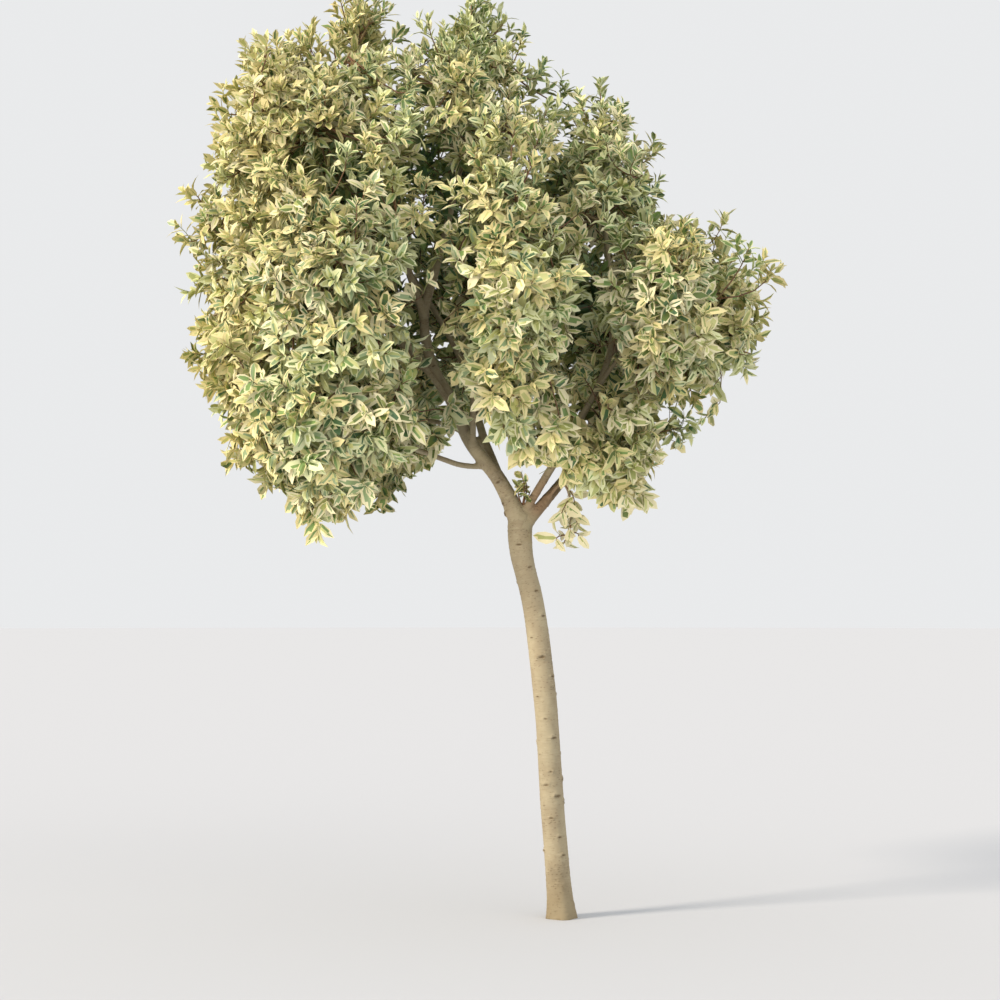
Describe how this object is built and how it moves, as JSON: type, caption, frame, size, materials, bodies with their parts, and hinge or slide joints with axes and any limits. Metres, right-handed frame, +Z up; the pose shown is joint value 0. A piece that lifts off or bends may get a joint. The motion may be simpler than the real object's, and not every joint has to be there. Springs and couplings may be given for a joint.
{
  "type": "standard laurel",
  "caption": "Variegated laurel grown as a standard: one bare, leaning trunk that forks into tapering boughs under a broad, loosely clipped crown of cream-edged leaves.",
  "frame": {"origin": "middle of the flat cut under the trunk, at ground level", "axes": "+Z up; +X to the right and -Y towards the viewer, as the plant is seen from the front"},
  "size_m": [1.5917, 1.2598, 2.4153],
  "materials": {
    "bark": "smooth pale bark with fine lenticels",
    "foliage": "satin leaves, green with cream edges"
  },
  "bodies": {
    "root": {"trunk": "bark", "bough_leader": "bark", "bough_right": "bark", "bough_low_right": "bark", "bough_back": "bark", "bough_low_left": "bark", "bough_left": "bark", "bough_left_front": "bark", "bough_front": "bark", "bough_top_left": "bark", "bough_low_back": "bark", "bough_top_back": "bark", "bough_right_front": "bark", "bough_right_tip": "bark", "bough_lowest": "bark", "bough_hanging_sprig": "bark", "foliage_top_centre": "foliage", "foliage_top_right": "foliage", "foliage_right_back": "foliage", "foliage_back": "foliage", "foliage_low_left_front": "foliage", "foliage_left_side": "foliage", "foliage_left_front": "foliage", "foliage_front": "foliage", "foliage_top_left_front": "foliage", "foliage_low_left_back": "foliage", "foliage_top_left_back": "foliage", "foliage_right_front": "foliage", "foliage_right_tip": "foliage", "foliage_low_right": "foliage", "foliage_hanging_sprig": "foliage"}
  },
  "joints": []
}
